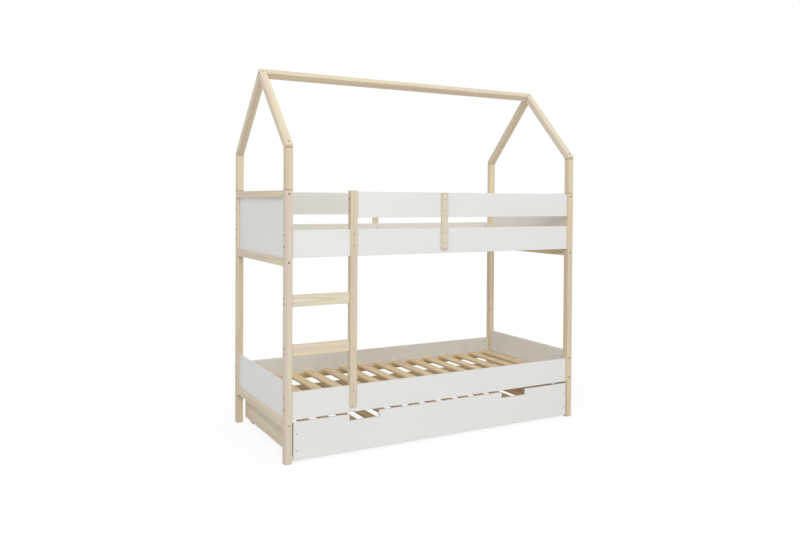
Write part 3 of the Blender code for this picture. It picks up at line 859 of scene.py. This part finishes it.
# %% The slats' recipe
def slat_recipe():
    """A slat on each given point, and a ledger along each side of the row."""
    slat = ("Width", "Thickness", "Length")
    ledger = ("Ledger_Length", "Ledger_Depth", "Ledger_Height", "Ledger_Top", "Front", "Back")
    inputs = {label: float for label in (*slat, *ledger)}
    recipe = Recipe("slatted_base", **inputs, Seed=int, Finish=str)
    given = recipe.given

    half = given("Length") * 0.5
    start, end = recipe.vector(Y=half * -1), recipe.vector(Y=half)
    slat = swept_bar(recipe, given("Width"), given("Thickness"), start, end, "xzy")
    slats = recipe.copies(given("Geometry"), slat)

    half = given("Ledger_Length") * 0.5
    start, end = recipe.vector(X=half * -1), recipe.vector(X=half)
    bar = swept_bar(recipe, given("Ledger_Depth"), given("Ledger_Height"), start, end, "yzx")
    inset = given("Ledger_Depth") * 0.5
    level = given("Ledger_Top") - given("Ledger_Height") * 0.5
    front = recipe.vector(Y=given("Front") + inset, Z=level)
    back = recipe.vector(Y=given("Back") - inset, Z=level)
    settings, values = {"mode": "END_POINTS"}, {"Count": 2, "Start Location": front, "Offset": back}
    ledgers = recipe.copies(recipe.node("GeometryNodeMeshLine", settings, values), bar)

    both = recipe.node("GeometryNodeJoinGeometry", None, {"Geometry": [slats, ledgers]})
    settings = {"data_type": "FLOAT", "domain": "INSTANCE"}
    recipe.finish(recipe.store(both, "piece", recipe.luck(), **settings))
    return recipe


SLAT_RECIPE = slat_recipe()
print("inputs of the slats' recipe:", list(SLAT_RECIPE.inputs))

# %% [markdown]
# The row's places aren't typed in again. The tops of the slats are the highest points of the
# solid, so their edges can be read off it: sorted along the row, those points come in pairs, the
# left and the right limit of each slat's flat top, and the rounded edge lies just outside.

# %% Measure a row of slats on its solid
NEAR = 0.0002                       # a point this close to the top belongs to a slat's top


def top_points(solid):
    """The points on top of a row's slats."""
    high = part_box(solid)[1]
    return [v.co for v in NODES[solid].data.vertices if v.co.z > high.z - NEAR]


def slat_edges(solid):
    """The left and right edge of each slat in a row."""
    flat = sorted({round(point.x, 4) for point in top_points(solid)})
    return [(left - SLAT_EDGE, right + SLAT_EDGE) for left, right in zip(flat[::2], flat[1::2])]


def slat_length(solid, middle):
    """The slats' length, which is less than the solid's by the ledgers' gaps."""
    return 2 * max(point.y - middle for point in top_points(solid)) + 2 * SLAT_EDGE


for name in ("lower", "upper", "trundle"):
    print(name, "slats:", len(slat_edges(name + "_slatted_base")))

# %% [markdown]
# The slats are bare pine, yellower than the lacquered timbers. Their material reads the grain
# attribute in place of Object coordinates, and moves it by the slat's random number. A few
# branches stand along the tree, and whichever slat is cut there shows the knot.

# %% Bare pine for the slats
BARE_PINE = (1.10, 1.00, 0.82, 1.0)
SLAT_SEED = 41
SLAT_SHIFT = (0.05, 0.03, 3.0)      # how far apart in the tree two slats can come from
SLAT_KNOTS = [(0.4, 0.1, 0.006), (1.1, -0.1, 0.005), (1.9, 0.2, 0.007), (2.6, 0.0, 0.005)]


def slat_place(finish):
    """The point in its slat's own grain, moved by the slat's random number."""
    grain = finish.node("ShaderNodeAttribute", {"attribute_name": "grain"}, None, "Vector")
    piece = finish.node("ShaderNodeAttribute", {"attribute_name": "piece"}, None, "Fac")
    shift = dict(zip("XYZ", (piece * span for span in SLAT_SHIFT)))
    return finish.vector_maths("ADD", grain, finish.vector(**shift))


SLAT_PINE = pine_finish("slat_pine", slat_place, SLAT_SEED, SLAT_KNOTS, BARE_PINE)
print("slats' finish:", SLAT_PINE.name)

# %% [markdown]
# Each row then replaces its solid, which goes on working unseen wherever collisions are counted.
# The ledgers lie under the slats and reach a millimetre up into them.

# %% Make the rows of slats
SLAT_THICKNESS = 0.014
LEDGER_DEPTH = 0.022
LET_IN = 0.001                      # how far the ledgers reach into the slats


def make_row(name, body, seed):
    """Make a row, and give back its body, its slats' edges and its solid's box."""
    solid = name + "_slatted_base"
    low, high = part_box(solid)
    edges = slat_edges(solid)
    middle = (low + high) / 2
    level = high.z - SLAT_THICKNESS / 2
    places = [spot((left + right) / 2, middle.y, level, UP) for left, right in edges]
    ledger_top = high.z - SLAT_THICKNESS + LET_IN
    piece = SLAT_RECIPE.make(
        name + "_slats",
        point_cloud(name + "_slat_places", places),
        body,
        Width=edges[0][1] - edges[0][0],
        Thickness=SLAT_THICKNESS,
        Length=slat_length(solid, middle.y),
        Ledger_Length=high.x - low.x,
        Ledger_Depth=LEDGER_DEPTH,
        Ledger_Height=ledger_top - low.z,
        Ledger_Top=ledger_top,
        Front=low.y,
        Back=high.y,
        Seed=seed,
        Finish=SLAT_PINE,
    )
    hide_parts(solid)
    return body, edges, low, high


ROWS = [
    make_row("lower", "bed", 0),
    make_row("upper", "bed", 1),
    make_row("trundle", "trundle", 2),
]

# %% [markdown]
# ## Bolts, barrel nuts and screws
#
# A bed like this travels flat. Its posts are drawn to the boards by bolts that screw into barrel
# nuts, which show as slotted discs on the inner faces. A fastener's head is a short cone with
# its recess cut away by a Boolean: a hexagon for bolts, a slot for nuts and a cross for screws.

# %% A fastener's head
HEAD_SIDES = 20


def fastener_head(recipe, recess):
    """A head with a hexagon, cross or slot in it, facing up."""
    given = recipe.given
    values = {
        "Vertices": HEAD_SIDES,
        "Radius Top": given("Radius") * given("Taper"),
        "Radius Bottom": given("Radius"),
        "Depth": given("Rise") + given("Sunk"),
    }
    head = recipe.raised(recipe.node("GeometryNodeMeshCone", None, values), given("Sunk") * -1)
    deep = given("Depth") * 2
    if recess == "hexagon":
        values = {"Vertices": 6, "Radius": given("Recess"), "Depth": deep}
        cutters = [recipe.node("GeometryNodeMeshCylinder", None, values)]
    else:
        long, thin = given("Recess") * 2, given("Recess") * 0.5
        shapes = [(long, thin), (thin, long)] if recess == "cross" else [(long, thin)]
        sizes = [recipe.vector(X=across, Y=along, Z=deep) for across, along in shapes]
        cutters = [recipe.node("GeometryNodeMeshCube", None, {"Size": size}) for size in sizes]
    cutters = [recipe.raised(cutter, given("Rise")) for cutter in cutters]
    values = {"Mesh 1": head, "Mesh 2": cutters}
    return recipe.node("GeometryNodeMeshBoolean", {"operation": "DIFFERENCE"}, values)


# %% [markdown]
# The head is made once and copied to a cloud of points. It is turned to the way its point faces,
# and a seeded random spin first keeps the sockets from lining up, as a fitter would leave them.

# %% The fasteners' recipe
def fastener_recipe(name, recess):
    """A head put on each point, spun by luck and turned to face out."""
    sizes = {label: float for label in ("Radius", "Rise", "Sunk", "Recess", "Depth", "Taper")}
    recipe = Recipe(name, **sizes, Seed=int, Finish=str)
    spin = recipe.vector(Z=recipe.luck() * math.tau)
    spun = recipe.node("FunctionNodeEulerToRotation", None, {"Euler": spin})
    settings = {"data_type": "FLOAT_VECTOR"}
    outward = recipe.node("GeometryNodeInputNamedAttribute", settings, {"Name": "facing"})
    values = {"Rotation": spun, "Vector": outward}
    turned = recipe.node("FunctionNodeAlignRotationToVector", {"axis": "Z"}, values)
    head = fastener_head(recipe, recess)
    recipe.finish(recipe.copies(recipe.given("Geometry"), head, Rotation=turned))
    return recipe


HEXAGON = fastener_recipe("bolt_with_hexagon", "hexagon")
SLOTTED = fastener_recipe("nut_with_slot", "slot")
CROSS = fastener_recipe("screw_with_cross", "cross")
print("recipes:", [recipe.tree.name for recipe in (HEXAGON, SLOTTED, CROSS)])

# %% [markdown]
# Where the fasteners go follows from the pieces they join, so their places are read off the
# solids' boxes. Sides and faces are signs, -1 or 1 along X and Y, which lets one line of sums
# serve all four corners of the bed.

# %% Corners of the solids
SIDES = {"left": -1, "right": 1}
FACES = {"front": -1, "back": 1}


def corner(solid, east=0, south=0):
    """The middle of a solid's box, or of its side or edge: -1, 0 or 1 along X and Y."""
    low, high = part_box(solid)
    middle, half = (low + high) / 2, (high - low) / 2
    return Vector(m + h * s for m, h, s in zip(middle, half, (east, south, 0)))


def top_of(solid):
    """The height of a solid's top."""
    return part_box(solid)[1].z


def along_x(sign):
    return Vector((sign, 0, 0))


def along_y(sign):
    return Vector((0, sign, 0))


print("outer face of the front left post:", corner("lower_post_front_left", south=-1))

# %% [markdown]
# Two bolts go through a post into each long board, on the board's centre line, and each has its
# nut a little way along the board. The front guard board stops at the ladder, so its left end is
# bolted through the stringer.

# %% Bolts and nuts of the long boards
SIDE_DROPS = (0.029, 0.095)         # bolts below the top of a side board
GUARD_DROPS = (0.0435, 0.1095)      # and of a guard board
NUT_INSET = 0.035                   # a nut's distance from the end of its board
bolts, caps, nuts = [], [], []


def bolt_board(board, face, side, drops):
    """Bolts through a post, or the stringer, into the end of a long board, with their nuts."""
    south, east = FACES[face], SIDES[side]
    solid, post = f"{board}_{face}", f"lower_post_{face}_{side}"
    if solid == "guard_board_front" and side == "left":
        post = "ladder_stringer"
    outer, skin = corner(post, east), corner(solid, east, -south)
    for drop in drops:
        z = top_of(solid) - drop
        bolts.append(spot(outer.x, corner(solid).y, z, along_x(east)))
        nuts.append(spot(skin.x - east * NUT_INSET, skin.y, z, along_y(-south)))


# %% [markdown]
# The rails and the board across each end are bolted through the posts from the front and the
# back. The lowest bolt of the front left post has a cap the colour of the wood.

# %% Bolts and nuts of the ends
END_DROPS = (0.052, 0.185)          # bolts below the top of the plain end board
END_NUT_INSET = 0.030
CAPPED = ("lower_end_bottom_rail_left", "front")


def bolt_end(solid, face, side, heights, inset):
    """Bolts through a post into a rail or board across the end of the bed, with their nuts."""
    south, east = FACES[face], SIDES[side]
    outer = corner(f"lower_post_{face}_{side}", south=south)
    skin = corner(solid, -east, south)
    heads = caps if (solid, face) == CAPPED else bolts
    for z in heights:
        heads.append(spot(outer.x, outer.y, z, along_y(south)))
        nuts.append(spot(skin.x, skin.y - south * inset, z, along_x(-east)))


for face in FACES:
    for side in SIDES:
        bolt_board("upper_side_board", face, side, SIDE_DROPS)
        bolt_board("lower_side_board", face, side, SIDE_DROPS)
        bolt_board("guard_board", face, side, GUARD_DROPS)
        rails = [f"upper_end_top_rail_{side}", f"upper_end_bottom_rail_{side}"]
        if side == "left":
            rails.append("lower_end_bottom_rail_left")
        for rail in rails:
            bolt_end(rail, face, side, [corner(rail).z], NUT_INSET)
    heights = [top_of("lower_end_board_right") - drop for drop in END_DROPS]
    bolt_end("lower_end_board_right", face, "right", heights, END_NUT_INSET)
print("bolts:", len(bolts), "nuts:", len(nuts))

# %% [markdown]
# Each rafter is bolted to its post just above the foot, square to the slope. One more bolt goes
# through both rafters near the apex, and one through the front rafter into the ridge's end.

# %% Bolts of the roof
FOOT_RISE = 0.026                   # a rafter's bolt above its heel, up the slope
APEX_SIDE, APEX_DROP = 0.0152, 0.0152  # the apex bolt in front of the ridge line, below the tip
SLOPE = {face: Vector((0, south, 1)).normalized() for face, south in FACES.items()}

for side, east in SIDES.items():
    rafter = f"rafter_front_{side}"
    for face, south in FACES.items():
        post = f"upper_post_{face}_{side}"
        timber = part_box(post)[1].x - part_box(post)[0].x
        heel = timber / math.cos(ROOF_PITCH) - timber * math.tan(ROOF_PITCH)
        outer = corner(post, south=south)
        foot = Vector((outer.x, outer.y, top_of(post) + heel))
        climb = Vector((0, -south, 1)).normalized()
        bolts.append((foot + climb * FOOT_RISE, SLOPE[face]))
    bolts.append(spot(foot.x, -APEX_SIDE, top_of(rafter) - APEX_DROP, SLOPE["front"]))
    bolts.append(spot(corner(rafter, east).x, 0, corner("ridge").z, along_x(east)))
print("with the roof's bolts:", len(bolts))

# %% [markdown]
# A child's weight hangs on the ladder's rungs, so each end of a rung has two bolts, through the
# post on one side and through the stringer on the other.

# %% Bolts of the ladder
RUNG_SPREAD = 0.0155                # a rung's bolts above and below its middle
for name in ("ladder_rung_lower", "ladder_rung_upper"):
    rung = corner(name)
    for spread in (-RUNG_SPREAD, RUNG_SPREAD):
        z = rung.z + spread
        bolts.append(spot(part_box("lower_post_front_left")[0].x, rung.y, z, along_x(-1)))
        bolts.append(spot(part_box("ladder_stringer")[1].x, rung.y, z, along_x(1)))
print("with the ladder's bolts:", len(bolts))

# %% [markdown]
# The battens and the stringer's notches are only screwed, with smaller heads. Both battens stand
# at the middle of the bed, where X is 0. The front one's screws show on the batten itself, and
# the back one's on the boards in front of it.

# %% Screws of the battens and the stringer
BATTEN_DROPS = (0.038, 0.108, 0.244, 0.309)  # screws below the top of a batten
BATTEN_SKINS = {"batten_front": "batten_front", "batten_back": "guard_board_back"}
STRINGER_DROPS = {"upper_side_board_front": SIDE_DROPS, "lower_side_board_front": SIDE_DROPS[:1]}
screws = {"bed": [], "trundle": []}

for drop in BATTEN_DROPS:
    for batten, skin in BATTEN_SKINS.items():
        screws["bed"].append(spot(0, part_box(skin)[0].y, top_of(batten) - drop, FORWARD))
for board, drops in STRINGER_DROPS.items():
    for drop in drops:
        x, y = corner("ladder_stringer").x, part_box("ladder_stringer")[0].y
        screws["bed"].append(spot(x, y, top_of(board) - drop, FORWARD))
print("screws of battens and stringer:", len(screws["bed"]))

# %% [markdown]
# The trundle's panel and back board are screwed to its sides, and so are the castors' plates.
# Each slat has a screw through either end into its ledger.

# %% Screws of the trundle and the slats
TRUNDLE_RISES = (0.0535, 0.1505)    # screws above the foot of the trundle's panel
PLATE_SPREAD, PLATE_DROP = 0.024, 0.008  # a plate's screws, from its middle and its top
PLATE_FACE = 0.0033                 # from a side board to the face of a castor's plate
SLAT_SCREW_INSET = 0.012

for side, east in SIDES.items():
    flank = f"trundle_side_{side}"
    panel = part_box("trundle_front")[0]
    for rise in TRUNDLE_RISES:
        z = panel.z + rise
        screws["trundle"].append(spot(corner(flank).x, panel.y, z, FORWARD))
        x, y = corner(flank, east).x, corner("trundle_back").y
        screws["trundle"].append(spot(x, y, z, along_x(east)))
    for face in FACES:
        z = top_of(f"castor_holder_{face}_{side}") - PLATE_DROP
        x = corner(flank, -east).x - east * PLATE_FACE
        for spread in (-PLATE_SPREAD, PLATE_SPREAD):
            y = corner(f"castor_wheel_{face}_{side}").y + spread
            screws["trundle"].append(spot(x, y, z, along_x(-east)))
for body, edges, low, high in ROWS:
    for left, right in edges:
        for y in (low.y + SLAT_SCREW_INSET, high.y - SLAT_SCREW_INSET):
            screws[body].append(spot((left + right) / 2, y, high.z, UP))
print("screws:", {body: len(found) for body, found in screws.items()})

# %% [markdown]
# A head's sizes are its radius, how far it stands out of the wood and goes into it, its recess's
# size and depth, and how much narrower its top is. The bolts stand a millimetre proud, and the
# nuts and screws lie nearly flush.

# %% Make the fasteners
SIZES = ("Radius", "Rise", "Sunk", "Recess", "Depth", "Taper")
BOLT = dict(zip(SIZES, (0.0058, 0.0010, 0.0010, 0.0026, 0.0008, 0.82)))
NUT = dict(zip(SIZES, (0.0050, 0.0003, 0.0010, 0.0042, 0.0010, 0.94)))
SCREW = dict(zip(SIZES, (0.0038, 0.0003, 0.0010, 0.0020, 0.0009, 0.92)))
CAP_RADIUS, CAP_SEED = 0.006, 3
CAP_BEIGE, CAP_DUST = paint(192, 174, 152), paint(150, 132, 110)
CAP = moulded_finish("beige_cap", CAP_BEIGE, CAP_DUST, caps[0][0], CAP_RADIUS, CAP_SEED)
FASTENERS = [                       # piece, body, recipe, sizes, places, seed and finish
    ("bed_bolts", "bed", HEXAGON, BOLT, bolts, 5, DARK_STEEL),
    ("bed_bolt_caps", "bed", HEXAGON, BOLT, caps, 8, CAP),
    ("bed_barrel_nuts", "bed", SLOTTED, NUT, nuts, 6, DARK_STEEL),
    ("bed_screws", "bed", CROSS, SCREW, screws["bed"], 0, PLATED),
    ("trundle_screws", "trundle", CROSS, SCREW, screws["trundle"], 1, PLATED),
]
for name, body, recipe, sizes, places, seed, finish in FASTENERS:
    cloud = point_cloud(name + "_places", places)
    recipe.make(name, cloud, body, **sizes, Seed=seed, Finish=finish)

# %% [markdown]
# ## Floor and background
#
# The bed stands on white, with hardly a shadow. The floor lights the bed from below like any pale
# floor. To the camera it is mostly a glow that comes out as plain white, and a small share of it
# is a real matt surface that keeps the shadow. The Light Path node tells the two apart.

# %% Floor
FLOOR_SIZE = 40.0
FLOOR_GREY = (0.76, 0.76, 0.76, 1)  # what lights the bed from below
PLAIN_WHITE = (1, 1, 1, 1)          # what the camera sees
SHADOW_SHARE = 0.14
SHADOW_FADE = (3.4, 1.6)            # the shadow's share is gone by the first distance
OPEN_FLOOR = 0.85                   # how brightly the lamps and the room light the open floor
GLOW = (1 - SHADOW_SHARE * OPEN_FLOOR) / (1 - SHADOW_SHARE)  # fills that up to plain white


def seen_directly(graph):
    """1 for camera, glossy and transmission rays, which should meet plain white."""
    camera = graph.node("ShaderNodeLightPath", None, None, "Is Camera Ray")
    glossy = graph.maths("MAXIMUM", camera, camera.other("Is Glossy Ray"))
    return graph.maths("MAXIMUM", glossy, camera.other("Is Transmission Ray"))


def floor_finish():
    paper = Finish("floor_paper")
    direct = seen_directly(paper)
    reach = paper.vector_maths("LENGTH", paper.coordinate(), output="Value")
    white = 1 - SHADOW_SHARE * paper.fade(reach, *SHADOW_FADE)
    matt = paper.mix(direct, FLOOR_GREY, PLAIN_WHITE)
    matt = paper.node("ShaderNodeBsdfDiffuse", None, {"Color": matt})
    glow = paper.node("ShaderNodeEmission", None, {"Color": PLAIN_WHITE, "Strength": GLOW})
    both = paper.node("ShaderNodeMixShader", None, {0: direct * white, 1: matt, 2: glow})
    paper.node("ShaderNodeOutputMaterial", None, {"Surface": both})
    return paper.material


half = FLOOR_SIZE / 2
mesh = bpy.data.meshes.new("floor")
corners = [(-half, -half, 0), (half, -half, 0), (half, half, 0), (-half, half, 0)]
mesh.from_pydata(corners, [], [(0, 1, 2, 3)])
mesh.materials.append(floor_finish())
add_object("floor", mesh)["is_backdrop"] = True
print("floor's glow:", round(GLOW, 4))

# %% [markdown]
# The room behind the bed works the same way: plain white to the camera, and half as bright for
# everything that it lights.

# %% Background
ROOM_LIGHT = 0.50

world = bpy.data.worlds.new("white_room")
world.use_nodes = True
bpy.context.scene.world = world
sky = Graph(world.node_tree)
strength = ROOM_LIGHT + seen_directly(sky) * (1 - ROOM_LIGHT)
light = sky.node("ShaderNodeBackground", None, {"Color": PLAIN_WHITE, "Strength": strength})
sky.node("ShaderNodeOutputWorld", None, {"Surface": light})
print("room light:", ROOM_LIGHT)

# %% [markdown]
# ## Light
#
# Half of the light comes from all round, as in a white studio. The front faces are brighter than
# the left ones, the slopes of the roof are brighter still, and no edge throws a hard shadow, so
# three large soft panels do the rest. The key stands high in front and to the left, a weak one
# low to the right lights the faces under the upper bunk, and one hangs overhead for the slopes.
# Their levels were found by rendering each light alone and adding the pictures up.

# %% Light
AIM = Vector((0, 0, 1.0))           # the point that the panels face
PANELS = {                          # place, size and watts
    "key": (Vector((-6.2, -9.1, 7.5)), 7.0, 565.0),
    "fill": (Vector((4.0, -13.0, 4.5)), 8.0, 150.0),
    "overhead": (Vector((0.0, -2.0, 12.0)), 8.0, 200.0),
}
for name, (place, size, watts) in PANELS.items():
    lamp = bpy.data.lights.new(name, "AREA")
    lamp.energy = watts
    lamp.size = size
    panel = add_object(name, lamp)
    panel.location = place
    panel.rotation_euler = (AIM - place).to_track_quat("-Z", "Y").to_euler()
bpy.context.scene.view_settings.view_transform = "Standard"
print("lamps:", list(PANELS))

# %% [markdown]
# ## Camera
#
# The place, turn and lens come from the straight edges of the bed in the photograph: upright
# edges give the camera's tilt, and the two rows of boards meet at two far points that give its
# turn and lens. A small shift takes up the crop, so the bed sits in the picture as it should.

# %% Camera
EYE = Vector((-2.50879, -4.58964, 1.49373))
YAW, DIP, ROLL = 0.51937, 0.01432, 0.00644  # radians
LENS = 34.594                       # millimetres
SHIFT = (-0.02736, -0.0694)

camera = bpy.data.cameras.new("camera")
camera.lens = LENS
camera.shift_x, camera.shift_y = SHIFT
aim = Matrix.Rotation(-YAW, 3, "Z") @ Matrix.Rotation(math.pi / 2 - DIP, 3, "X")
eye = add_object("camera", camera)
eye.location = EYE
eye.rotation_euler = (aim @ Matrix.Rotation(ROLL, 3, "Z")).to_euler()
bpy.context.scene.camera = eye
print("camera's lens:", LENS, "mm")

# %% [markdown]
# ## The sizes of the solids and the dressed bed
#
# The dressed bed must be as large as its solids. Both boxes are printed, so that a slip in a
# slat or a bolt shows up as a number.

# %% The sizes of the solids and the dressed bed
SEEN_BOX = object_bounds()
sizes = {"cad": [list(v) for v in CAD_BOX], "visual": [list(v) for v in SEEN_BOX]}
print("sizes:", sizes)
